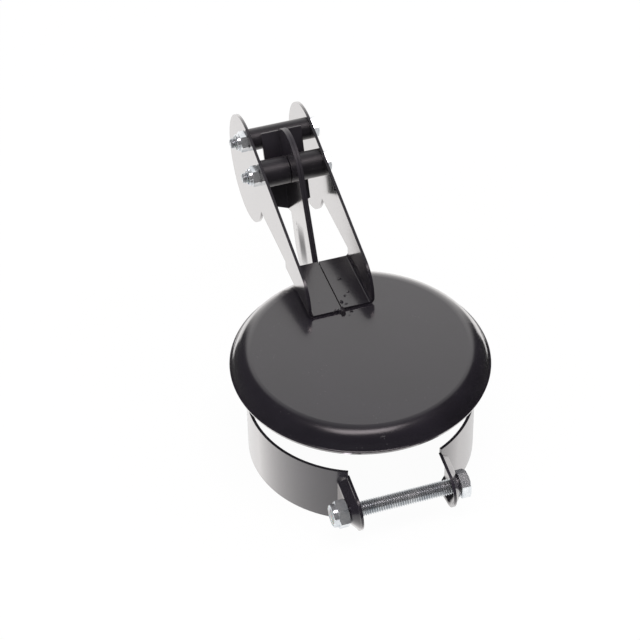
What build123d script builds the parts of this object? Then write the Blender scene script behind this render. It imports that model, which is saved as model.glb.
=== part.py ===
from build123d import *
import os
from math import asin, atan2, cos, radians, sin, sqrt, tan

os.makedirs("parts", exist_ok=True)

# The origin lies on the pipe's axis, level with the lower edge of the clamp band.
# +Z is up, +Y points to the hinge at the back, and X is the axis of every bolt.

# Sheet steel
sheet = 1.5
fold_radius = 1.5  # inside radius of the folds
half_sheet = sheet / 2
fold_mid_radius = fold_radius + half_sheet

# The pipe that the cap is clamped to, and the clamp band round it
pipe_diameter = 115.0
clamp_clearance = 0.05
lid_above_band = 29.0  # flat underside of the closed lid
band_height = 34.0
band_gap = 49.0  # opening between the two front ends of the band
band_inner_radius = pipe_diameter / 2 + clamp_clearance
band_mid_radius = band_inner_radius + half_sheet
band_outer_radius = band_inner_radius + sheet

# Ears: pressed spoons round the clamp bolt, hollow towards each other and widening to the band
ear_spread = 59.0  # over the outer faces of the two ears
ear_seat_radius = 5.0  # where the flat round the bolt meets the sloping wall
ear_radius = 9.8  # where the sloping wall meets the lip
ear_lip = 0.6
ear_bend = 1.2
ear_root_seat = 7.5  # half width of that flat, and of the hollow, where they reach the band
ear_root_radius = 12.4
ear_bolt_reach = 5.8  # bolt axis in front of the band
ear_bolt_drop = 15.9  # bolt axis below the band's upper edge
ear_bolt_y = -(band_outer_radius + ear_bolt_reach)
ear_bolt_z = band_height - ear_bolt_drop

# Lid: it rests on the end of the pipe
lid_overhang = 9.0  # past the pipe's outer face
lid_rim_run = 5.6  # from the corner that the shoulder rounds off to the edge
lid_rim_drop = 8.5
lid_lip = 1.3
lid_lip_slope = 15.0
lid_shoulder_radius = 9.0
lid_lip_radius = 2.0
lid_radius = pipe_diameter / 2 + lid_overhang
lid_corner_radius = lid_radius - lid_rim_run
lid_top = band_height + lid_above_band + sheet
lid_mid_top = lid_top - half_sheet

# Hinge axis
hinge_behind_lid = 48.5
hinge_above_lid = 29.5
hinge_y = lid_radius + hinge_behind_lid
hinge_z = lid_top + hinge_above_lid

# Upright: two webs back to back, with their rear edges folded out as stop flanges
web_gap = 0.1
web_bend = 3.75  # middle radius of the bend from the band into the web
web_head_radius = 22.0
web_step = 6.0  # the web's rear edge steps forward below the flanges
web_rear_run = 21.0  # straight run of the rear edge below that step
stop_lean = 20.0  # degrees back from the vertical
stop_width = 22.4
stop_run_below = 26.0  # below the hinge, along the flange
stop_bottom_slant = 20.0
web_mid_x = (web_gap + sheet) / 2
web_thickness = 2 * sheet + web_gap

# Spot welds between the webs
spot_weld_radius = 2.0
spot_weld_count = 3
spot_weld_pitch = 24.0
spot_weld_in_front = 16.0  # first weld in front of the hinge axis, and below it
spot_weld_below = 20.7

# Spacers on the hinge bolt, and the counterweight that swings between the stops
swing_angle = 81.0
spacer_diameter = 15.0
side_play = 0.2  # between each spacer and the upright
spacer_to_stop = 1.8
counterweight_diameter = 12.0
stop_gap = 0.3

# Arms and their feet
arm_spread = 36.0  # over the outer faces of the two arms
foot_length = 40.0
foot_overhang = 2.0  # past the lid's rear edge
right_foot_setback = 1.0  # the right foot ends a little behind the left one
seam_gap = 0.4
arm_slope = 15.0
arm_corner_radius = 16.0
arm_lower_edge = 6.5  # above the lid's flat top
arm_hinge_margin = 9.07  # from the hinge axis square to the arm's sloping top edge
arm_disc_radius = 30.0
arm_disc_back = 21.3  # disc centre behind the hinge axis, along the top edge
arm_half = arm_spread / 2
arm_inner_x = arm_half - sheet
foot_rear_y = lid_radius + foot_overhang
foot_front_y = foot_rear_y - foot_length

# Welds between the feet and the lid
seam_weld_length = 7.0
seam_weld_width = 3.8
seam_weld_height = 1.0  # above the feet
rear_weld_length = 16.0
rear_weld_leg = 3.5

# Bolts and lock nuts
pivot_thread = 6.0
pivot_flats = 10.0
pivot_head = 4.0
pivot_nut_hex = 4.0
pivot_nut_height = 6.0
clamp_thread = 8.0
clamp_flats = 13.0
clamp_head = 5.3
clamp_nut_hex = 5.5
clamp_nut_height = 8.0
tip_past_nut = 3.0
clamp_tip_in_nut = 2.0  # the clamp bolt ends inside its nut
tip_chamfer = 0.8
corner_taper = 60.0  # degrees, of the cone that takes off the hexagon's corners
collar_inset = 0.5  # the nut's collar inside its flats
collar_wall = 0.7
pivot_bolt_length = arm_spread + pivot_nut_height + tip_past_nut
clamp_bolt_length = ear_spread + clamp_nut_height - clamp_tip_in_nut

# Fits
running_clearance = 0.1
hole_clearance = 0.2
thread_gap = 0.02
fillet_share = 0.98  # the most of a wall that a fillet may take


def bend_off_band(mid_x, bend_radius):
    """Points of a bend that leaves the band's middle circle and runs off along Y."""
    reach = band_mid_radius + bend_radius
    centre_x = mid_x + bend_radius
    centre = Vector(centre_x, sqrt(reach**2 - centre_x**2))
    start = centre * (band_mid_radius / reach)
    finish = Vector(mid_x, centre.Y)
    inward = ((start - centre).normalized() + Vector(-1, 0)).normalized()
    return start, centre + inward * bend_radius, finish


def hex_bolt(bearing, thread, flats, head, length):
    """Hexagon bolt whose head sits on the bearing plane, its shank along the normal."""
    with BuildPart() as bolt:
        with BuildSketch(bearing):
            RegularPolygon(flats / 2, 6, major_radius=False)
        extrude(amount=-head)
        with BuildSketch(bearing.offset(-head)):
            Circle(flats / 2)
        extrude(amount=head, taper=-corner_taper, mode=Mode.INTERSECT)
        with BuildSketch(bearing):
            Circle(thread / 2)
        extrude(amount=length)
        tip = bearing.offset(length).origin
        chamfer(bolt.edges().filter_by(GeomType.CIRCLE).sort_by_distance(tip)[0], tip_chamfer)
    return bolt.part


def lock_nut(bearing, thread, flats, hex_height, height):
    """Hexagon nut with a round collar that holds a nylon ring."""
    collar_radius = flats / 2 - collar_inset
    bore_radius = thread / 2 + thread_gap
    hex_top = bearing.offset(hex_height)
    collar_height = height - hex_height
    with BuildPart() as nut:
        with BuildSketch(bearing):
            RegularPolygon(flats / 2, 6, major_radius=False)
        extrude(amount=hex_height)
        with BuildSketch(bearing):
            Circle(flats / 2)
        extrude(amount=hex_height, taper=-corner_taper, mode=Mode.INTERSECT)
        with BuildSketch(hex_top):
            Circle(flats / 2)
        extrude(amount=-hex_height, taper=-corner_taper, mode=Mode.INTERSECT)
        with BuildSketch(hex_top):
            Circle(collar_radius)
        extrude(amount=collar_height)
        collar_top = bearing.offset(height).origin
        fillet(nut.edges().filter_by(GeomType.CIRCLE).sort_by_distance(collar_top)[0], collar_wall)
        with BuildSketch(bearing):
            Circle(bore_radius)
        extrude(amount=height, mode=Mode.SUBTRACT)
        with BuildSketch(hex_top):
            Circle(collar_radius - collar_wall)
        extrude(amount=collar_height - collar_wall / 2, mode=Mode.SUBTRACT)
        with BuildSketch(hex_top):
            Circle((collar_radius + bore_radius) / 2)
        extrude(amount=collar_height, mode=Mode.SUBTRACT)
    return nut.part


def nylon_ring(bearing, thread, flats, hex_height, height):
    """Ring that grips the thread inside the lock nut's collar."""
    with BuildPart() as ring:
        with BuildSketch(bearing.offset(hex_height)):
            Circle(flats / 2 - collar_inset - collar_wall - thread_gap)
            Circle(thread / 2 + thread_gap, mode=Mode.SUBTRACT)
        extrude(amount=height - hex_height - collar_wall / 2 - thread_gap)
    return ring.part


def tube(start_x, end_x, axis_y, axis_z, outer_radius, bore_radius):
    """Plain tube along X."""
    with BuildPart() as piece:
        with BuildSketch(Plane((start_x, axis_y, axis_z), x_dir=(0, 1, 0), z_dir=(1, 0, 0))):
            Circle(outer_radius)
            Circle(bore_radius, mode=Mode.SUBTRACT)
        extrude(amount=end_x - start_x)
    return piece.part


# Directions along and across the stop flanges, in the YZ plane
stop_up = Vector(sin(radians(stop_lean)), cos(radians(stop_lean)))
stop_back = Vector(stop_up.Y, -stop_up.X)
hinge = Vector(hinge_y, hinge_z)

# The counterweight meets the flanges' rear faces at both ends of its swing
counterweight_radius = counterweight_diameter / 2
stop_rear_offset = spacer_diameter / 2 + spacer_to_stop + sheet
half_swing = radians(swing_angle / 2)
counterweight_reach = (stop_rear_offset + stop_gap + counterweight_radius) / cos(half_swing)
counterweight_angle = half_swing - radians(stop_lean)
counterweight_y = hinge_y + counterweight_reach * cos(counterweight_angle)
counterweight_z = hinge_z + counterweight_reach * sin(counterweight_angle)

# Lid: a flat disc with a round shoulder, a steep rim and a small turned-out lip
lid_corner = Vector(lid_corner_radius, lid_mid_top)
lid_edge = Vector(lid_radius, lid_mid_top - lid_rim_drop)
lid_lip_start = lid_edge - Vector(lid_lip, -lid_lip * tan(radians(lid_lip_slope)))
with BuildPart() as lid:
    with BuildSketch(Plane.XZ):
        with BuildLine():
            FilletPolyline(
                (0, lid_mid_top),
                lid_corner,
                lid_lip_start,
                lid_edge,
                radius=(lid_shoulder_radius, lid_lip_radius),
            )
        trace(line_width=sheet)
    revolve(axis=Axis.Z)


def build_right_arm(front_y):
    """Right arm: a foot folded up into a cheek that ends in a round plate."""
    slope = radians(arm_slope)
    along_edge = Vector(cos(slope), sin(slope))
    off_edge = Vector(-along_edge.Y, along_edge.X)
    tangent = hinge + along_edge * arm_disc_back + off_edge * arm_hinge_margin
    disc = tangent - off_edge * arm_disc_radius
    corner_z = tangent.Y - (tangent.X - front_y) * tan(slope)
    lower_z = lid_top + arm_lower_edge
    notch_y = disc.X - sqrt(arm_disc_radius**2 - (disc.Y - lower_z) ** 2)
    fold_top_z = lid_top + sheet + fold_radius
    corner_limit = (corner_z - fold_top_z) * tan(radians(45) + slope / 2)
    with BuildPart() as arm:
        with BuildSketch(Plane.XZ.offset(-front_y)):
            with BuildLine():
                FilletPolyline(
                    (seam_gap / 2, lid_top + half_sheet),
                    (arm_half - half_sheet, lid_top + half_sheet),
                    (arm_half - half_sheet, lower_z),
                    radius=fold_mid_radius,
                )
            trace(line_width=sheet)
        extrude(amount=front_y - foot_rear_y)
        with BuildSketch(Plane.YZ.offset(arm_inner_x)):
            with BuildLine():
                Polyline(
                    (front_y, fold_top_z),
                    (front_y, corner_z),
                    tangent,
                    disc,
                    (notch_y, lower_z),
                    (foot_rear_y, lower_z),
                    (foot_rear_y, fold_top_z),
                    close=True,
                )
            make_face()
            with Locations(disc):
                Circle(arm_disc_radius)
        extrude(amount=sheet)
        corner = arm.edges().filter_by(Axis.X).sort_by_distance((arm_half, front_y, corner_z))[0]
        fillet(corner, min(arm_corner_radius, corner_limit * fillet_share))
        with BuildSketch(Plane.YZ.offset(arm_inner_x)):
            with Locations((hinge_y, hinge_z), (counterweight_y, counterweight_z)):
                Circle(pivot_thread / 2 + hole_clearance)
        extrude(amount=sheet, mode=Mode.SUBTRACT)
    return arm.part


with BuildPart() as arm_right:
    add(build_right_arm(foot_front_y + right_foot_setback))
with BuildPart() as arm_left:
    mirror(build_right_arm(foot_front_y), about=Plane.YZ)

# Weld dab over the front end of the seam between the feet
with BuildPart() as seam_weld:
    with BuildSketch(Plane.XY.offset(lid_top)):
        with Locations((0, foot_front_y)):
            SlotOverall(seam_weld_length, seam_weld_width, rotation=90)
    extrude(amount=sheet + seam_weld_height)
    fillet(seam_weld.faces().sort_by(Axis.Z)[-1].edges(), seam_weld_height)
    add(arm_left.part, mode=Mode.SUBTRACT)
    add(arm_right.part, mode=Mode.SUBTRACT)

# Weld bead in the wedge under the feet, where they overhang the lid's round shoulder
rim_direction = (lid_lip_start - lid_corner).normalized()
rim_angle = atan2(-rim_direction.Y, rim_direction.X)
shoulder_run = lid_shoulder_radius * tan(rim_angle / 2)
shoulder_drop = lid_shoulder_radius - sqrt(lid_shoulder_radius**2 - shoulder_run**2)
bead_low = lid_corner + rim_direction * rear_weld_leg
with BuildPart() as rear_weld:
    with BuildSketch(Plane.YZ.offset(-rear_weld_length / 2)):
        with BuildLine():
            Polyline(
                (lid_corner_radius, lid_mid_top - shoulder_drop),
                (lid_corner_radius, lid_top),
                (lid_corner_radius + rear_weld_leg, lid_top),
                bead_low,
                close=True,
            )
        make_face()
    extrude(amount=rear_weld_length)
    add(lid.part, mode=Mode.SUBTRACT)

# Upright outline in the YZ plane
front_foot = Vector(band_outer_radius, band_height)
to_hinge = hinge - front_foot
front_angle = atan2(to_hinge.Y, to_hinge.X) + asin(web_head_radius / to_hinge.length)
front_run = sqrt(to_hinge.length**2 - web_head_radius**2)
front_direction = Vector(cos(front_angle), sin(front_angle))
front_head = front_foot + front_direction * front_run
head_top = hinge + Vector(0, web_head_radius)
stop_run_above = sqrt(web_head_radius**2 - stop_rear_offset**2)
stop_middle = hinge + stop_back * stop_rear_offset
stop_top = stop_middle + stop_up * stop_run_above
stop_bottom = stop_middle - stop_up * stop_run_below
rear_step = stop_bottom - stop_back * web_step
rear_low = rear_step - stop_up * web_rear_run


def ear_bend_radius(rise, run):
    """Radius of the bends of the ear, limited by the lip beside them."""
    half_turn = atan2(abs(rise), run) / 2
    return min(ear_bend, fillet_share * ear_lip / tan(half_turn))


def build_right_clamp_half():
    """Half band with its ear in front and its web behind."""
    end_angle = asin(band_gap / 2 / band_mid_radius)
    band_end = Vector(band_mid_radius * sin(end_angle), -band_mid_radius * cos(end_angle))
    web_start, web_middle, web_finish = bend_off_band(web_mid_x, web_bend)
    ear_mid_x = ear_spread / 2 - half_sheet
    ear_rim_x = band_gap / 2
    ear_centre = (0, ear_bolt_y, ear_bolt_z)
    ear_root_reach = -ear_bolt_y - sqrt(band_inner_radius**2 - (ear_spread / 2) ** 2)
    ear_plane = Plane(ear_centre, x_dir=(0, 0, 1), z_dir=(0, 1, 0))
    ear_sections = (
        (ear_plane, ear_seat_radius, ear_radius),
        (ear_plane.offset(ear_root_reach), ear_root_seat, ear_root_radius),
    )
    with BuildPart() as half:
        # Band and web as one bent strip, cut to the side outline
        with BuildSketch(Plane.XY):
            with BuildLine():
                ThreePointArc(band_end, (band_mid_radius, 0), web_start)
                ThreePointArc(web_start, web_middle, web_finish)
                Line(web_finish, (web_mid_x, stop_top.X + sheet))
            trace(line_width=sheet)
        extrude(amount=head_top.Y)
        with BuildSketch(Plane.YZ):
            with BuildLine():
                Polyline((-band_outer_radius, 0), (web_finish.Y, 0), rear_low, rear_step)
                Polyline(rear_step, stop_bottom, stop_top)
                ThreePointArc(stop_top, head_top, front_head)
                Polyline(front_head, front_foot, (-band_outer_radius, band_height), (-band_outer_radius, 0))
            make_face()
        extrude(amount=band_outer_radius, mode=Mode.INTERSECT)
        # Stop flange, folded out from the web's rear edge
        flange_plane = Plane(
            (0, stop_middle.X, stop_middle.Y),
            x_dir=(1, 0, 0),
            z_dir=(0, -stop_back.X, -stop_back.Y),
        )
        slant = (stop_width - web_gap) / 2 * tan(radians(stop_bottom_slant))
        with BuildSketch(flange_plane):
            with BuildLine():
                Polyline(
                    (web_gap / 2, -stop_run_below),
                    (stop_width / 2, slant - stop_run_below),
                    (stop_width / 2, stop_run_above),
                    (web_gap / 2, stop_run_above),
                    close=True,
                )
            make_face()
        extrude(amount=sheet)
        # Hollow of the ear, from the bolt back through the band's end
        for plane, seat, rim in ear_sections:
            with BuildSketch(plane):
                with BuildLine():
                    Polyline(
                        (-rim, ear_rim_x - sheet),
                        (-rim, ear_rim_x),
                        (-seat, ear_mid_x),
                        (seat, ear_mid_x),
                        (rim, ear_rim_x),
                        (rim, ear_rim_x - sheet),
                        close=True,
                    )
                make_face()
        loft(mode=Mode.SUBTRACT)
        # Its sheet and lips, and then the same round the front of the bolt
        for plane, seat, rim in ear_sections:
            with BuildSketch(plane):
                with BuildLine():
                    FilletPolyline(
                        (-rim - ear_lip, ear_rim_x),
                        (-rim, ear_rim_x),
                        (-seat, ear_mid_x),
                        (seat, ear_mid_x),
                        (rim, ear_rim_x),
                        (rim + ear_lip, ear_rim_x),
                        radius=ear_bend_radius(ear_mid_x - ear_rim_x, rim - seat),
                    )
                trace(line_width=sheet)
        loft()
        with BuildSketch(ear_plane):
            with BuildLine():
                FilletPolyline(
                    (0, ear_mid_x),
                    (ear_seat_radius, ear_mid_x),
                    (ear_radius, ear_rim_x),
                    (ear_radius + ear_lip, ear_rim_x),
                    radius=ear_bend_radius(ear_mid_x - ear_rim_x, ear_radius - ear_seat_radius),
                )
            trace(line_width=sheet)
        revolve(axis=Axis(ear_centre, (1, 0, 0)), revolution_arc=180)
        # Bore for the pipe, and the holes for the clamp bolt and the hinge bolt
        with BuildSketch(Plane.XY):
            Circle(band_inner_radius)
        extrude(amount=band_height, mode=Mode.SUBTRACT)
        with BuildSketch(Plane.YZ):
            with Locations((ear_bolt_y, ear_bolt_z)):
                Circle(clamp_thread / 2 + hole_clearance)
            with Locations((hinge_y, hinge_z)):
                Circle(pivot_thread / 2 + running_clearance)
        extrude(amount=ear_spread, mode=Mode.SUBTRACT)
    return half.part


with BuildPart() as clamp_half_right:
    add(build_right_clamp_half())
with BuildPart() as clamp_half_left:
    mirror(clamp_half_right.part, about=Plane.YZ)

# Spot welds that fill the gap between the webs, in a row along their front edge
first_spot = hinge - Vector(spot_weld_in_front, spot_weld_below)
with BuildPart() as web_spot_welds:
    with BuildSketch(Plane.YZ.offset(-web_gap / 2)):
        for number in range(spot_weld_count):
            with Locations(first_spot - front_direction * (number * spot_weld_pitch)):
                Circle(spot_weld_radius)
    extrude(amount=web_gap)

# Hinge: bolt, lock nut and the two spacers that centre the upright between the arms
head_side = Plane((arm_half, hinge_y, hinge_z), x_dir=(0, 1, 0), z_dir=(-1, 0, 0))
nut_side = Plane((-arm_half, hinge_y, hinge_z), x_dir=(0, 1, 0), z_dir=(-1, 0, 0))
with BuildPart() as hinge_bolt:
    add(hex_bolt(head_side, pivot_thread, pivot_flats, pivot_head, pivot_bolt_length))
with BuildPart() as hinge_nut:
    add(lock_nut(nut_side, pivot_thread, pivot_flats, pivot_nut_hex, pivot_nut_height))
with BuildPart() as hinge_nut_ring:
    add(nylon_ring(nut_side, pivot_thread, pivot_flats, pivot_nut_hex, pivot_nut_height))
spacer_inner_x = web_thickness / 2 + side_play
pivot_bore = pivot_thread / 2 + hole_clearance
with BuildPart() as hinge_spacer_right:
    add(tube(spacer_inner_x, arm_inner_x, hinge_y, hinge_z, spacer_diameter / 2, pivot_bore))
with BuildPart() as hinge_spacer_left:
    add(tube(-arm_inner_x, -spacer_inner_x, hinge_y, hinge_z, spacer_diameter / 2, pivot_bore))

# Counterweight across the arms, with its own bolt and lock nut
with BuildPart() as counterweight:
    add(tube(-arm_inner_x, arm_inner_x, counterweight_y, counterweight_z, counterweight_radius, pivot_bore))
weight_head_side = Plane((arm_half, counterweight_y, counterweight_z), x_dir=(0, 1, 0), z_dir=(-1, 0, 0))
weight_nut_side = Plane((-arm_half, counterweight_y, counterweight_z), x_dir=(0, 1, 0), z_dir=(-1, 0, 0))
with BuildPart() as counterweight_bolt:
    add(hex_bolt(weight_head_side, pivot_thread, pivot_flats, pivot_head, pivot_bolt_length))
with BuildPart() as counterweight_nut:
    add(lock_nut(weight_nut_side, pivot_thread, pivot_flats, pivot_nut_hex, pivot_nut_height))
with BuildPart() as counterweight_nut_ring:
    add(nylon_ring(weight_nut_side, pivot_thread, pivot_flats, pivot_nut_hex, pivot_nut_height))

# Clamp bolt through both ears
clamp_head_side = Plane((ear_spread / 2, ear_bolt_y, ear_bolt_z), x_dir=(0, 1, 0), z_dir=(-1, 0, 0))
clamp_nut_side = Plane((-ear_spread / 2, ear_bolt_y, ear_bolt_z), x_dir=(0, 1, 0), z_dir=(-1, 0, 0))
with BuildPart() as clamp_bolt:
    add(hex_bolt(clamp_head_side, clamp_thread, clamp_flats, clamp_head, clamp_bolt_length))
with BuildPart() as clamp_nut:
    add(lock_nut(clamp_nut_side, clamp_thread, clamp_flats, clamp_nut_hex, clamp_nut_height))
with BuildPart() as clamp_nut_ring:
    add(nylon_ring(clamp_nut_side, clamp_thread, clamp_flats, clamp_nut_hex, clamp_nut_height))

pieces = {
    "lid": lid,
    "arm_left": arm_left,
    "arm_right": arm_right,
    "seam_weld": seam_weld,
    "rear_weld": rear_weld,
    "clamp_half_left": clamp_half_left,
    "clamp_half_right": clamp_half_right,
    "web_spot_welds": web_spot_welds,
    "hinge_bolt": hinge_bolt,
    "hinge_nut": hinge_nut,
    "hinge_nut_ring": hinge_nut_ring,
    "hinge_spacer_left": hinge_spacer_left,
    "hinge_spacer_right": hinge_spacer_right,
    "counterweight": counterweight,
    "counterweight_bolt": counterweight_bolt,
    "counterweight_nut": counterweight_nut,
    "counterweight_nut_ring": counterweight_nut_ring,
    "clamp_bolt": clamp_bolt,
    "clamp_nut": clamp_nut,
    "clamp_nut_ring": clamp_nut_ring,
}
for name, piece in pieces.items():
    piece.part.label = name
    export_step(piece.part, f"parts/{name}.step")
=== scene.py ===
import math

import bmesh
import bpy
import numpy as np
from mathutils import Matrix, Vector


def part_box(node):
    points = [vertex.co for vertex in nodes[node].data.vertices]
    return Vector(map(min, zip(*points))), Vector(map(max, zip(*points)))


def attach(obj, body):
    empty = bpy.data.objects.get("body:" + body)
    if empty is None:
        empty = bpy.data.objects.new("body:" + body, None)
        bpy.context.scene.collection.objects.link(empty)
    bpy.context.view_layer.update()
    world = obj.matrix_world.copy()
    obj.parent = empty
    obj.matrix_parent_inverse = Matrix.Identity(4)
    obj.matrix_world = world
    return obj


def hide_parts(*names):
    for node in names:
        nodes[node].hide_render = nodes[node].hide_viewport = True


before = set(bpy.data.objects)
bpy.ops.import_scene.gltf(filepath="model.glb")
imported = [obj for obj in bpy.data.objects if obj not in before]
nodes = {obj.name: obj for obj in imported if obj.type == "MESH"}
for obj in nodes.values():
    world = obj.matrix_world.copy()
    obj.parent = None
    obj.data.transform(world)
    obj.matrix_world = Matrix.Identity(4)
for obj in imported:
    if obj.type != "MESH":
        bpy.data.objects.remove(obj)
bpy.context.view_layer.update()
mm = 0.001
print("frame loaded:", len(nodes), "nodes")


# Shader graphs, written as expressions

class Wire:
    # one value in a shader graph; arithmetic on it adds Math nodes
    def __init__(self, graph, socket):
        self.graph = graph
        self.socket = socket

    def math(self, operation, *others):
        return self.graph.math(operation, self, *others)

    def __add__(self, other):
        return self.math("ADD", other)

    def __mul__(self, other):
        return self.math("MULTIPLY", other)

    __radd__ = __add__
    __rmul__ = __mul__

    def __sub__(self, other):
        return self.math("SUBTRACT", other)

    def __rsub__(self, other):
        return self.graph.math("SUBTRACT", other, self)

    def __truediv__(self, other):
        return self.math("DIVIDE", other)

    def __rtruediv__(self, other):
        return self.graph.math("DIVIDE", other, self)

    def __pow__(self, other):
        return self.math("POWER", other)

    def __rpow__(self, other):
        return self.graph.math("POWER", other, self)

    def __abs__(self):
        return self.math("ABSOLUTE")

    def clamp(self):
        return self.math("MAXIMUM", 0.0).math("MINIMUM", 1.0)

    def above(self, low, high):
        # 0 below low, 1 above high, straight between
        return ((self - low) / (high - low)).clamp()


class Graph:
    # a material's or the world's node tree
    def __init__(self, owner):
        owner.use_nodes = True
        self.tree = owner.node_tree
        self.tree.nodes.clear()

    def node(self, kind, settings=None, out=0, **values):
        # values go to the sockets of their names, with _ for a space, or by number as in0, in1 and so on
        made = self.tree.nodes.new("ShaderNode" + kind)
        for key, value in (settings or {}).items():
            setattr(made, key, value)
        for key, value in values.items():
            number = key.removeprefix("in")
            slot = made.inputs[int(number) if number.isdigit() else key.replace("_", " ")]
            if isinstance(value, Wire):
                self.tree.links.new(value.socket, slot)
            else:
                slot.default_value = value
        return Wire(self, made.outputs[out]) if made.outputs else None

    def math(self, operation, *values):
        slots = {f"in{number}": value for number, value in enumerate(values)}
        return self.node("Math", {"operation": operation}, **slots)

    def noise(self, where, scale, detail=2.0, roughness=0.5):
        return self.node("TexNoise", Vector=where, Scale=scale, Detail=detail, Roughness=roughness)

    def blend(self, factor, first, second):
        # a Mix node set to colours takes them at inputs 6 and 7 and gives its colour at output 2
        return self.node("Mix", {"data_type": "RGBA"}, out=2, in0=factor, in6=first, in7=second)

    def surface(self, shader, kind="OutputMaterial"):
        self.node(kind, Surface=shader)


def grey(value, tint=(1.0, 1.0, 1.0)):
    # a grey as red, green, blue and alpha, each colour times its tint
    return (value * tint[0], value * tint[1], value * tint[2], 1.0)


# Black paint on sheet steel: semi-gloss with a fine orange peel, a little dust, and marks from handling.
# Heights and radii are in metres; a span gives the noise values or distances between which a mask changes.

paint = {
    "dark": 0.0090,
    "light": 0.0130,
    "tint": (1.02, 0.89, 1.24),
    "cloudPerMetre": 28.0,           # slow drift between dark and light, and in the roughness
    "cloudSpan": (0.35, 0.65),
    "cloudRoughness": 0.10,
    "roughness": 0.24,
    "ior": 1.5,
    "peelPerMetre": 700.0,
    "peelHeight": 0.000010,
    "grainPerMetre": 4500.0,
    "grainHeight": 0.0000020,
    "grainRoughness": 0.05,
    "dustPerMetre": 420.0,
    "dustSpan": (0.05, 0.11),        # distances from a speck's middle, in cells, between which it fades
    "dustStrength": 0.6,
    "dustShade": 0.11,
    "patchPerMetre": 60.0,           # the dust lies in patches
    "patchSpan": (0.50, 0.64),
    "scratchPerMetre": 1600.0,       # breaks up the scuffs
    "scratchSpan": (0.45, 0.60),
    "wornHeight": 0.000008,
    "wornDullness": 0.7,
    "edgeRound": 0.0003,
    "edgeSamples": 4,
    "glaze": 1.62,                   # the mirror share grows as this times (1 - cosine) to the power below
    "glazePower": 2.85,
    "glazeMost": 0.62,
    "glazeRoughness": 0.15,
    "glazeShade": 0.97,
    "glazeTint": (1.0, 0.965, 0.955),
    "dullGlaze": 0.25,               # what dust, scuffs, the darker seam, cut edges and the painted dark reflection streak leave of the mirror share
    "dullRoughness": 0.30,
}

# Marks: place in millimetres, half sizes along X, Y and Z, height of the bump, how light the scuff is
footMarks = [
    ((6.0, 51.7, 66.0), (1.7, 1.3, 1.0), 0.26, 0.0),
    ((4.9, 38.1, 66.0), (1.0, 1.2, 1.0), -0.16, 0.1),
    ((7.0, 40.5, 66.0), (0.9, 0.8, 1.0), 0.18, 0.0),
    ((3.2, 32.0, 66.0), (1.3, 0.8, 1.0), 0.16, 0.0),
    ((1.5, 34.2, 66.0), (1.0, 1.8, 1.0), 0.35, 0.0),
    ((-2.8, 29.3, 66.0), (1.8, 0.8, 1.0), 0.25, 0.0),
    ((-9.5, 38.0, 66.0), (1.0, 0.8, 1.0), 0.05, 0.0),
]
lidMarks = [
    ((15.0, -63.0, 60.0), (2.6, 0.5, 1.2), 0.02, 0.6),
    ((19.0, -61.5, 60.5), (1.2, 0.4, 1.0), 0.02, 0.5),
    ((-9.5, -61.5, 62.0), (1.9, 0.5, 1.0), 0.02, 0.5),
    ((4.5, 27.0, 64.5), (1.1, 0.9, 1.0), 0.45, 0.0),
    ((2.6, 24.6, 64.5), (0.6, 0.5, 1.0), 0.14, 0.0),
]
sheetMarks = [
    ((-1.55, 101.6, 66.5), (1.0, 1.0, 1.6), 0.06, 0.9),
    ((-1.55, 101.2, 62.5), (1.0, 0.7, 1.1), 0.05, 0.9),
    ((-27.0, -52.5, 27.5), (3.8, 3.8, 3.8), -0.35, 0.0),
]


def metres(lengths):
    return tuple(length * mm for length in lengths)


def markField(g, where, marks):
    # height in metres and lightness of all marks; a mark is b * b * (3 - 2 b) high, where b falls from 1 at
    # its place to 0 at its half sizes
    height, scuff = 0.0, 0.0
    for place, sizes, bump, light in marks:
        offset = g.node("VectorMath", {"operation": "SUBTRACT"}, in0=where, in1=metres(place))
        scaled = g.node("VectorMath", {"operation": "DIVIDE"}, in0=offset, in1=metres(sizes))
        away = g.node("VectorMath", {"operation": "LENGTH"}, out="Value", in0=scaled)
        blob = (1.0 - away).clamp()
        height = blob * (3.0 - 2.0 * blob) * blob * (bump * mm) + height
        if light:
            scuff = blob.above(0.0, 0.5) * light + scuff
    return height, scuff


# Places that lost their gloss, and a dark reflection painted as lost gloss. The seam's darker band fades
# over these millimetres off its middle. The cut edges start over these millimetres of Y, behind the band,
# and end over these sizes of the normal's X.
seamBand = {"seam": (0.24, 0.40)}
edges = {"behind": (62.0, 66.0), "sideways": (0.35, 0.60)}
# A painted dark reflection: a streak down the left web's outer face where the paint mirrors less
streak = {
    "centre": (91.0, 59.5),      # Y and Z, in millimetres
    "lean": 20.0,                # degrees off upright
    "halfWidth": 8.0,
    "halfLength": 13.0,
    "leftOf": (-1.2, -0.8),      # X, in millimetres; the left web's outer face lies beyond both
    "strength": 1.0,
}


def darkerSeam(g, where):
    # darker, duller paint along the narrow seam between the two feet
    return 1.0 - abs(g.node("SeparateXYZ", out="X", Vector=where)).above(*metres(seamBand["seam"]))


def cutEdges(g, where):
    # the upright's cut edges and its folded flanges: surfaces behind the band that don't face sideways
    sideways = g.node("SeparateXYZ", out="X", Vector=g.node("TexCoord", out="Normal"))
    behind = g.node("SeparateXYZ", out="Y", Vector=where).above(*metres(edges["behind"]))
    return (1.0 - abs(sideways).above(*edges["sideways"])) * behind


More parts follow.
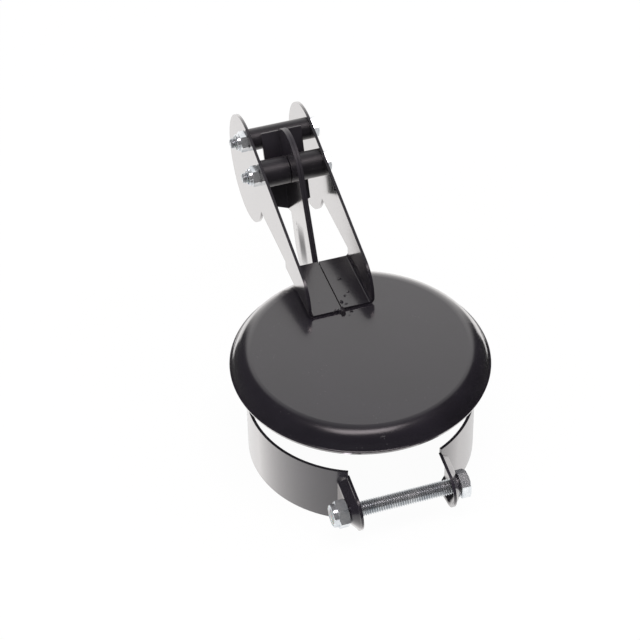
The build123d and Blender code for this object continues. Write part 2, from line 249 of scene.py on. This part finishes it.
def darkReflectionStreak(g, where):
    # a painted dark reflection: a soft streak down the outer face of the left web where the mirror share is
    # cut, full along its middle, fading to its sides from half its width, and along its length as 1 -
    # (distance / half length) squared
    x, y, z = (g.node("SeparateXYZ", out=axis, Vector=where) for axis in "XYZ")
    lean = math.radians(streak["lean"])
    back = (y - streak["centre"][0] * mm) * (1 / mm)
    up = (z - streak["centre"][1] * mm) * (1 / mm)
    across = abs(back * math.cos(lean) - up * math.sin(lean)) * (1 / streak["halfWidth"])
    along = (back * math.sin(lean) + up * math.cos(lean)) * (1 / streak["halfLength"])
    left = 1.0 - x.above(*metres(streak["leftOf"]))
    return (1.0 - across).above(0.0, 0.5) * (1.0 - along * along).clamp() * left * streak["strength"]


def cutEdgesAndDarkStreak(g, where):
    # the cut edges' lost gloss, and the painted dark reflection streak
    return cutEdges(g, where) + darkReflectionStreak(g, where)


def blackPaint(name, marks=(), dullness=None, **changes):
    # dark paint under a glaze that mirrors more at a grazing angle. dullness gives the places, from 0 to 1,
    # that mirror less: lost gloss, and on the sheets a painted dark reflection; worn takes in the dust and
    # the scuffs.
    p = dict(paint, **changes)
    material = bpy.data.materials.new(name)
    g = Graph(material)
    where = g.node("TexCoord", out="Object")
    cloud = g.noise(where, p["cloudPerMetre"], detail=3.0)
    fine = g.noise(where, p["peelPerMetre"])
    grain = g.noise(where, p["grainPerMetre"], detail=1.0)
    specks = g.node("TexVoronoi", {"feature": "F1"}, Vector=where, Scale=p["dustPerMetre"], Randomness=1.0)
    patch = g.noise(where, p["patchPerMetre"]).above(*p["patchSpan"])
    dust = (1.0 - specks.above(*p["dustSpan"])) * patch
    markHeight, scuff = markField(g, where, marks)
    scratch = g.noise(where, p["scratchPerMetre"]).above(*p["scratchSpan"])
    worn = (dust * p["dustStrength"] + scratch * scuff).clamp()
    dull = (worn * p["wornDullness"] + (dullness(g, where) if dullness else 0.0)).clamp()
    drift = cloud.above(*p["cloudSpan"])
    base = g.blend(drift, grey(p["dark"], p["tint"]), grey(p["light"], p["tint"]))
    colour = g.blend(worn, base, grey(p["dustShade"]))
    unevenness = ((cloud - 0.5) * p["cloudRoughness"] + dull * p["dullRoughness"]
                  + (grain - 0.5) * p["grainRoughness"])
    height = ((fine - 0.5) * p["peelHeight"] + (grain - 0.5) * p["grainHeight"]
              + worn * p["wornHeight"] + markHeight)
    rounded = g.node("Bevel", {"samples": p["edgeSamples"]}, Radius=p["edgeRound"])
    bump = g.node("Bump", Strength=1.0, Distance=1.0, Height=height, Normal=rounded)
    skin = g.node("BsdfPrincipled", Base_Color=colour, Roughness=(unevenness + p["roughness"]).clamp(),
                  IOR=p["ior"], Normal=bump)
    glaze = g.node("BsdfPrincipled", Base_Color=grey(p["glazeShade"], p["glazeTint"]), Metallic=1.0,
                   Roughness=(unevenness + p["glazeRoughness"]).clamp(), Normal=bump)
    facing = g.node("LayerWeight", out="Facing", Blend=0.5, Normal=bump)
    share = (facing ** p["glazePower"] * p["glaze"]).math("MINIMUM", p["glazeMost"])
    # the dull places, the painted dark reflection among them, keep less of the mirror share
    kept = 1.0 - dull * (1.0 - p["dullGlaze"])
    g.surface(g.node("MixShader", in0=share * kept, in1=skin, in2=glaze))
    return material


# Zinc plating on the bolts and nuts: bright, slightly blue, with a fine grain, and thread roots darkened
# with grime and painted shade

zinc = {
    "dark": (0.56, 0.60, 0.64, 1.0),
    "light": (0.92, 0.94, 0.95, 1.0),
    "cloudPerMetre": 170.0,
    "cloudSpan": (0.3, 0.7),
    "cloudRoughness": 0.14,
    # the dark colour in the thread's roots: grime, and painted shade that deepens the thread
    "grimeAndShade": (0.05, 0.052, 0.055, 1.0),
    "rootGrimeAndShade": 0.50,               # share of the dark colour, grime and painted shade, in the thread's roots
    "rootRoughness": 0.15,
    "metallic": 0.84,
    "roughness": 0.17,
    "grainPerMetre": 2600.0,
    "grainHeight": 0.000008,
    "grainRoughness": 0.10,
}


def zincPlate(name):
    material = bpy.data.materials.new(name)
    g = Graph(material)
    where = g.node("TexCoord", out="Object")
    cloud = g.noise(where, zinc["cloudPerMetre"], detail=3.0, roughness=0.6)
    grain = g.noise(where, zinc["grainPerMetre"])
    plated = g.blend(cloud.above(*zinc["cloudSpan"]), zinc["dark"], zinc["light"])
    root = g.node("Attribute", {"attribute_name": "root"}, out="Fac")
    # the thread's roots are darkened with grime and painted shade
    colour = g.blend(root * zinc["rootGrimeAndShade"], plated, zinc["grimeAndShade"])
    rough = (zinc["roughness"] + root * zinc["rootRoughness"] + (cloud - 0.5) * zinc["cloudRoughness"]
             + (grain - 0.5) * zinc["grainRoughness"])
    bump = g.node("Bump", Strength=1.0, Distance=1.0, Height=(grain - 0.5) * zinc["grainHeight"])
    g.surface(g.node("BsdfPrincipled", Base_Color=colour, Metallic=zinc["metallic"],
                     Roughness=rough.clamp(), Normal=bump))
    return material


# Natural nylon rings in the lock nuts

nylon = {
    "shade": (0.74, 0.76, 0.74, 1.0),
    "deep": (0.60, 0.63, 0.62, 1.0),
    "cloudPerMetre": 900.0,
    "cloudHeight": 0.00002,
    "cloudRoughness": 0.1,
    "roughness": 0.38,
    "subsurface": 0.25,
    "subsurfaceDepth": 0.001,
}


def nylonPlastic(name):
    material = bpy.data.materials.new(name)
    g = Graph(material)
    cloud = g.noise(g.node("TexCoord", out="Object"), nylon["cloudPerMetre"])
    colour = g.blend(cloud, nylon["deep"], nylon["shade"])
    bump = g.node("Bump", Strength=1.0, Distance=1.0, Height=(cloud - 0.5) * nylon["cloudHeight"])
    g.surface(g.node("BsdfPrincipled", Base_Color=colour, Normal=bump,
                     Roughness=nylon["roughness"] + cloud * nylon["cloudRoughness"],
                     Subsurface_Weight=nylon["subsurface"], Subsurface_Scale=nylon["subsurfaceDepth"]))
    return material


# Meshes worked out on grids

mergeWithin = 1e-7


def makePiece(name, verts, quads, material, body, stands):
    mesh = bpy.data.meshes.new(name)
    mesh.from_pydata(verts.tolist(), [], quads.tolist())
    mesh.validate()
    piece = bpy.data.objects.new(name, mesh)
    bpy.context.scene.collection.objects.link(piece)
    piece.data.materials.append(material)
    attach(piece, body)
    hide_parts(stands)
    return piece


def gridQuads(rows, columns):
    # quads between neighbouring rows, the last column joined to the first
    i = np.arange(rows - 1)[:, None]
    j = np.arange(columns)[None, :]
    k = (j + 1) % columns
    corners = [i * columns + j, i * columns + k, (i + 1) * columns + k, (i + 1) * columns + j]
    return np.stack(corners, -1).reshape(-1, 4)


def roundX(along, reach, angle):
    # points at along on the X axis, reach away from it, turned by angle round it
    return np.stack([along, reach * np.cos(angle), reach * np.sin(angle)], -1).reshape(-1, 3)


def cleaned(piece, smoothDegrees):
    # doubles merged, flat scraps dissolved, normals outward, shading smooth up to the angle
    bm = bmesh.new()
    bm.from_mesh(piece.data)
    bmesh.ops.remove_doubles(bm, verts=bm.verts, dist=mergeWithin)
    bmesh.ops.dissolve_degenerate(bm, edges=bm.edges, dist=mergeWithin)
    bmesh.ops.recalc_face_normals(bm, faces=bm.faces)
    bm.to_mesh(piece.data)
    bm.free()
    piece.data.shade_smooth()
    piece.data.set_sharp_from_angle(angle=math.radians(smoothDegrees))


# Camera at the photograph's angle

view = {
    "azimuth": 17.4,
    "elevation": 42.2,
    "roll": -1.1,
    "distance": 1.122,
    "aside": -0.0205,            # metres that the camera stands to the right of its line, and above it
    "above": 0.0206,
    "aim": (0.0, 0.0, 0.0553),
    "focalPixels": 2200.0,
    "imagePixels": 640.0,
    "sensorWidth": 36.0,
}


def placeCamera():
    azimuth, elevation, roll = (math.radians(view[key]) for key in ("azimuth", "elevation", "roll"))
    right = Vector((math.cos(azimuth), -math.sin(azimuth), 0.0))
    back = Vector((-math.sin(azimuth) * math.cos(elevation), -math.cos(azimuth) * math.cos(elevation),
                   math.sin(elevation)))
    up = back.cross(right)
    across = right * math.cos(roll) + up * math.sin(roll)
    upward = up * math.cos(roll) - right * math.sin(roll)
    place = Vector(view["aim"]) + across * view["aside"] + upward * view["above"] + back * view["distance"]
    camera = bpy.data.cameras.new("camera")
    camera.sensor_width = view["sensorWidth"]
    camera.lens = view["focalPixels"] / view["imagePixels"] * camera.sensor_width
    holder = bpy.data.objects.new("camera", camera)
    holder.matrix_world = Matrix((across, upward, back)).transposed().to_4x4()
    holder.location = place
    bpy.context.scene.collection.objects.link(holder)
    bpy.context.scene.camera = holder


placeCamera()
print("camera placed")


# White floor and backdrop. In the gloss the backdrop is as wide as a studio sweep, with black cards
# beside the object, a dark room on the camera's side and a soft light overhead.

studio = {
    "floorSize": 12.0,
    "floorLevel": -0.0002,
    "floorWhite": 0.86,
    "show": 0.965,                   # how much of the plain white is seen; the rest takes the shadow
    "ambient": 0.72,                 # what lights the object from all round
    "backdropEdge": (0.86, 0.95),    # cosines of the angles off the camera's line where the backdrop ends
    "backdropFade": (0.70, 0.82),    # heights of the direction between which it falls to its upper shade
    "backdropUpper": 0.45,
    "ceiling": (0.92, 0.98),         # heights of the direction between which the ceiling takes over
    "ceilingShade": 0.25,
    "roomShade": 0.04,
    "cardAside": (-0.13, 0.13),      # the cards stand along the camera's line, beside the object
    "cardFrom": -0.30,
    "cardTo": 0.11,
    "cardHeight": 0.50,
    "cardShade": (0.05, 0.02),
}


def seenPlain(g):
    # 1 for camera rays, and 1 for glossy and transmission rays
    camera, glossy, through = (g.node("LightPath", out=ray) for ray in
                               ("Is Camera Ray", "Is Glossy Ray", "Is Transmission Ray"))
    return camera, (glossy + through).clamp()


def floorAxes():
    # the camera's line along the floor, away from it, and the direction to its right
    azimuth = math.radians(view["azimuth"])
    along = Vector((math.sin(azimuth), math.cos(azimuth), 0.0))
    aside = Vector((math.cos(azimuth), -math.sin(azimuth), 0.0))
    return along, aside


def stageSheet(name, corners, material):
    mesh = bpy.data.meshes.new(name)
    mesh.from_pydata([tuple(corner) for corner in corners], [], [(0, 1, 2, 3)])
    sheet = bpy.data.objects.new(name, mesh)
    bpy.context.scene.collection.objects.link(sheet)
    sheet.data.materials.append(material)
    return sheet


def makeFloor():
    half = studio["floorSize"] / 2
    level = studio["floorLevel"]
    material = bpy.data.materials.new("whiteFloor")
    g = Graph(material)
    camera, glossy = seenPlain(g)
    lit = g.node("BsdfDiffuse", Color=grey(studio["floorWhite"]))
    plain = g.node("Emission", Color=grey(1.0), Strength=1.0)
    g.surface(g.node("MixShader", in0=(camera + glossy).clamp() * studio["show"], in1=lit, in2=plain))
    corners = [(-half, -half, level), (half, -half, level), (half, half, level), (-half, half, level)]
    stageSheet("floor", corners, material)


def makeCards():
    # black cards on both sides, seen by the gloss alone
    along, aside = floorAxes()
    rise = Vector((0.0, 0.0, studio["cardHeight"]))
    for name, offset, shade in zip(("leftCard", "rightCard"), studio["cardAside"], studio["cardShade"]):
        near = aside * offset + along * studio["cardFrom"]
        far = aside * offset + along * studio["cardTo"]
        material = bpy.data.materials.new(name)
        g = Graph(material)
        g.surface(g.node("Emission", Color=grey(shade), Strength=1.0))
        card = stageSheet(name, [near, far, far + rise, near + rise], material)
        card.visible_camera = False
        card.visible_diffuse = False
        card.visible_shadow = False
        card.visible_transmission = False


def makeWorld():
    # white to the eye, an even grey as light, and in the gloss the backdrop, the room and the ceiling
    world = bpy.data.worlds.new("studio")
    bpy.context.scene.world = world
    g = Graph(world)
    camera, glossy = seenPlain(g)
    direction = g.node("TexCoord", out="Generated")
    along, _ = floorAxes()
    ahead = g.node("VectorMath", {"operation": "DOT_PRODUCT"}, out="Value", in0=direction, in1=tuple(along))
    height = g.node("SeparateXYZ", out="Z", Vector=direction)
    level = (1.0 - height * height).math("MAXIMUM", 0.0001).math("SQRT")    # never 0, as it divides below
    backdrop = (ahead / level).above(*studio["backdropEdge"])
    upper = height.above(*studio["backdropFade"])
    lit = backdrop * (1.0 - upper * (1.0 - studio["backdropUpper"]))
    room = lit * (1.0 - studio["roomShade"]) + studio["roomShade"]
    ceiling = height.above(*studio["ceiling"])
    mirrored = room * (1.0 - ceiling) + ceiling * studio["ceilingShade"]
    shade = g.blend(glossy, grey(studio["ambient"]), mirrored)
    seen = g.blend(camera, shade, grey(1.0))
    g.surface(g.node("Background", Color=seen, Strength=1.0), "OutputWorld")


lamps = {
    # place, aim, width, height, watts, colour, seen in the gloss
    "overhead": ((0.0, -0.21, 1.3), (0.0, 0.0, 0.0), 0.9, 0.44, 8.8, (1.0, 0.90, 0.93), True),
    "leftSide": ((-1.3, -0.2, 0.8), (0.0, 0.0, 0.05), 0.6, 0.6, 6.0, (1.0, 1.0, 1.0), False),
    "rightSide": ((1.3, 0.1, 0.9), (0.0, 0.0, 0.05), 0.6, 0.6, 5.0, (1.0, 1.0, 1.0), False),
}


def makeLamps():
    for name, (place, aim, width, height, watts, colour, inGloss) in lamps.items():
        light = bpy.data.lights.new(name, "AREA")
        light.shape = "RECTANGLE"
        light.size = width
        light.size_y = height
        light.energy = watts
        light.color = colour
        lamp = bpy.data.objects.new(name, light)
        lamp.location = place
        lamp.rotation_euler = (Vector(place) - Vector(aim)).to_track_quat("Z", "Y").to_euler()
        lamp.visible_camera = False
        lamp.visible_glossy = inGloss
        bpy.context.scene.collection.objects.link(lamp)


makeFloor()
makeCards()
makeWorld()
makeLamps()
bpy.context.scene.view_settings.view_transform = "Standard"
print("stage, surroundings and lamps made")


# Threaded bolts, with their heads on the right

bolts = {
    # node, body, then in millimetres the thread's radius and pitch, the head's width across flats and height
    "clampBolt": ("clamp_bolt", "clamp", 4.0, 1.25, 13.0, 5.3),
    "hingeBolt": ("hinge_bolt", "flap", 3.0, 1.0, 10.0, 4.0),
    "counterweightBolt": ("counterweight_bolt", "flap", 3.0, 1.0, 10.0, 4.0),
}
boltSmoothing = 32.0    # degrees
thread = {
    "stepsRound": 48,
    "rowsPerPitch": 12,
    "depthShare": 0.613,         # depth, crest and root as shares of the pitch
    "crestShare": 0.125,
    "rootShare": 0.25,
    "tip": 0.8,                  # millimetres that the cone at the tip takes off the radius
    "endPitches": 1.0,           # pitches over which the rows close at each end
    "insideHead": 1.0,           # millimetres of the rod inside the head
}
boltHead = {
    "stepsRound": 72,
    "edge": 0.25,                # millimetres that the bearing face's edge is cut off, across and along
    "edgeDepth": 0.15,
    "turnSlope": 30.0,           # degrees; the turned cone passes turnShare out, turnDrop below the top
    "turnShare": 0.97,           # every share is of half the width across flats
    "turnDrop": 0.1,
    "rimShare": 0.965,
    "rimDrop": 0.12,
    "topShare": 0.93,
    "dishShare": 0.70,
    "dishFloorShare": 0.60,
    "dishDepth": 0.25,
    "middleDepth": 0.30,
}


def threadDepth(phase):
    # 0 on the crest, 1 in the root, straight flanks between; phase runs from 0 to 1 over one pitch
    away = np.abs(phase - 0.5) * 2.0
    flank = 1.0 - thread["crestShare"] - thread["rootShare"]
    return np.clip((1.0 - thread["crestShare"] - away) / flank, 0, 1)


def threadGrid(radius, pitch, start, end):
    # a rod along X from start to end. Its rows run along the helix, one pitch per turn, and its reach is the
    # radius less the depth at the row's place in the pitch, or the cone at the tip where that is less.
    # Past each end the reach falls to 0, which closes the rod with a flat face.
    steps, rowsPerPitch = thread["stepsRound"], thread["rowsPerPitch"]
    spare = (1.0 + thread["endPitches"]) * pitch
    rows = int(round((end - start + 2 * spare) / pitch * rowsPerPitch)) + 1
    row = np.arange(rows)[:, None]
    turn = np.arange(steps)[None, :] / steps
    helix = start - spare + (row / rowsPerPitch + turn) * pitch
    along = np.clip(helix, start, end)
    past = np.maximum(helix - end, start - helix).clip(0) / (thread["endPitches"] * pitch)
    root = threadDepth((helix / pitch - turn) % 1.0)
    depth = root * pitch * thread["depthShare"]
    full = np.minimum(radius - depth, radius - thread["tip"] + (end - along))
    reach = full * (1.0 - past).clip(0)
    verts = roundX(along, reach, turn * 2 * np.pi)
    i = np.arange(rows - 1)[:, None]
    j = np.arange(steps)[None, :]
    k = (j + 1) % steps
    low = np.minimum(np.where(k == 0, i + rowsPerPitch, i), rows - 1)    # a full turn is one pitch on
    high = np.minimum(low + 1, rows - 1)
    corners = [i * steps + j, low * steps + k, high * steps + k, (i + 1) * steps + j]
    return verts, np.stack(corners, -1).reshape(-1, 4), root.reshape(-1)


def hexHead(flats, height):
    # hexagon prism along X from 0 to height, its outer corners turned off, with a shallow dish in its top.
    # A side's reach is half the flats / cosine of the angle off its middle.
    steps = boltHead["stepsRound"]
    half = flats / 2
    angle = np.arange(steps)[None, :] * 2 * np.pi / steps
    corner = half / np.cos((angle + np.pi / 6) % (np.pi / 3) - np.pi / 6)
    turnOff = (corner - half * boltHead["turnShare"]) * math.tan(math.radians(boltHead["turnSlope"]))
    rings = [
        (0.0, 0.0),
        (0.0, corner - boltHead["edge"]),
        (boltHead["edgeDepth"], corner),
        (height - turnOff - boltHead["turnDrop"], corner),
        (height - boltHead["rimDrop"], half * boltHead["rimShare"]),
        (height, half * boltHead["topShare"]),
        (height, half * boltHead["dishShare"]),
        (height - boltHead["dishDepth"], half * boltHead["dishFloorShare"]),
        (height - boltHead["middleDepth"], 0.0),
    ]
    along = np.concatenate([place + 0.0 * angle for place, _ in rings])
    reach = np.concatenate([outward + 0.0 * angle for _, outward in rings])
    return roundX(along, reach, angle), gridQuads(len(rings), steps)


def makeBolts(material):
    for name, (node, body, radius, pitch, flats, head) in bolts.items():
        low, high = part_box(node)
        centre = (low + high) / 2
        bearing = high.x / mm - head
        start = bearing + thread["insideHead"]
        shaft, shaftQuads, root = threadGrid(radius, pitch, 0.0, start - low.x / mm)
        top, topQuads = hexHead(flats, head)
        shaft = shaft * (-1, 1, -1) + (start, 0, 0)
        top = top + (bearing, 0, 0)
        verts = np.concatenate([shaft, top]) * mm + (0, centre.y, centre.z)
        quads = np.concatenate([shaftQuads, topQuads + len(shaft)])
        piece = makePiece(name, verts, quads, material, body, node)
        attribute = piece.data.attributes.new("root", "FLOAT", "POINT")
        attribute.data.foreach_set("value", np.concatenate([root, np.zeros(len(top))]))
        cleaned(piece, boltSmoothing)
    print("bolts made")


# Lumpy weld metal over the front end of the seam

weld = {
    "rings": 40,
    "stepsRound": 96,
    "waist": 0.30,               # how much the outline narrows in the middle of its length
    "waistTurn": 0.6,
    "wobble": 0.05,
    "outlineMost": 1.06,         # the outline is divided by this to stay inside its box
    "lumps": [                   # place along and across in shares of the half sizes, size, height share
        (-0.55, -0.15, 0.60, 0.92),
        (0.40, 0.30, 0.45, 1.00),
        (0.00, 0.05, 0.40, 0.80),
        (0.78, -0.35, 0.30, 0.85),
    ],
    "lumpStretch": 0.6,          # how much less a step across counts than a step along
    "least": 0.66,               # height share outside the lumps
    "ripple": 0.05,
    "rippleAlong": 16.0,
    "rippleAcross": 2.0,
    "smoothing": 60.0,           # degrees
}


def makeSeamWeld(material):
    # a dome over a narrow waisted outline: height = fall-off times the tallest lump at the place times a
    # ripple. The fall-off is the root of 1 - rho cubed, and rho runs from 0 in the middle to 1 at the edge.
    low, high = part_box("seam_weld")
    centre, half = (low + high) / 2, (high - low) / 2
    rho = (np.arange(weld["rings"] + 1) / weld["rings"])[:, None]
    angle = (np.arange(weld["stepsRound"]) * 2 * np.pi / weld["stepsRound"])[None, :]
    pinch = np.cos(angle) ** 2 * (0.5 + 0.5 * np.cos(3 * angle + weld["waistTurn"]))
    outline = 1.0 - weld["waist"] * pinch - weld["wobble"] * np.cos(5 * angle)
    outline = outline / weld["outlineMost"]
    across = rho * outline * np.cos(angle)
    along = rho * outline * np.sin(angle)
    rise = np.full_like(across, weld["least"])
    for placeAlong, placeAcross, size, share in weld["lumps"]:
        away = np.hypot(along - placeAlong, (across - placeAcross) * weld["lumpStretch"]) / size
        rise = np.maximum(rise, share * np.exp(-away ** 2))
    fall = np.sqrt(np.clip(1.0 - rho ** 3, 0.0, 1.0))
    ripple = 1.0 - weld["ripple"] * np.sin(along * weld["rippleAlong"] + across * weld["rippleAcross"])
    top = low.z + (high.z - low.z) * (rise * fall * ripple).clip(0.0, 1.0)
    verts = np.stack([centre.x + across * half.x, centre.y + along * half.y, top], -1)
    base = verts[-1:] * (1, 1, 0) + (0, 0, low.z)
    middle = base * 0 + (centre.x, centre.y, low.z)
    verts = np.concatenate([verts, base, middle]).reshape(-1, 3)
    quads = gridQuads(weld["rings"] + 3, weld["stepsRound"])
    piece = makePiece("seamWeld", verts, quads, material, "flap", "seam_weld")
    cleaned(piece, weld["smoothing"])
    print("seam weld made")


# Finishes on the CAD nodes

looks = {
    # what each black finish changes in the paint
    "sheet": {"dark": 0.014, "light": 0.021, "glaze": 1.75, "glazeMost": 0.66},
    # painted shade: a duller copy of the sheet paint for the right clamp half; its cut mirror share darkens
    # it as if it mirrored the shaded floor under the lid
    "rightShadedSheet": {"dark": 0.014, "light": 0.021, "glaze": 1.5, "glazeMost": 0.46},
    "tube": {"dark": 0.008, "light": 0.013, "roughness": 0.46, "glaze": 0.4, "glazeRoughness": 0.38},
    "weld": {"roughness": 0.45, "glaze": 0.6, "glazeRoughness": 0.30, "peelHeight": 0.00004},
}
lidPaint = blackPaint("lidPaint", lidMarks)
armPaint = blackPaint("armPaint", footMarks, darkerSeam)
# the sheet paint carries the painted dark reflection streak on the left web
sheetPaint = blackPaint("sheetPaint", sheetMarks, cutEdgesAndDarkStreak, **looks["sheet"])
# painted shade: the right clamp half mirrors less than the left
rightSheetPaint = blackPaint("rightSheetPaint", (), cutEdges, **looks["rightShadedSheet"])
tubePaint = blackPaint("tubePaint", **looks["tube"])
weldPaint = blackPaint("weldPaint", **looks["weld"])
zincMaterial = zincPlate("zincPlate")
nylonMaterial = nylonPlastic("nylonInsert")
finishes = [
    (lidPaint, ["lid"]),
    (armPaint, ["arm_left", "arm_right"]),
    (sheetPaint, ["clamp_half_left", "web_spot_welds"]),
    # the right clamp half takes the shaded copy of the sheet paint
    (rightSheetPaint, ["clamp_half_right"]),
    (weldPaint, ["rear_weld"]),
    (tubePaint, ["hinge_spacer_left", "hinge_spacer_right", "counterweight"]),
    (zincMaterial, ["hinge_nut", "counterweight_nut", "clamp_nut"]),
    (nylonMaterial, ["hinge_nut_ring", "counterweight_nut_ring", "clamp_nut_ring"]),
]


def dress(node, material):
    for slot in nodes[node].material_slots:
        slot.link = "OBJECT"
        slot.material = material


for material, dressed in finishes:
    for node in dressed:
        dress(node, material)
print("finishes given")

makeBolts(zincMaterial)
makeSeamWeld(weldPaint)
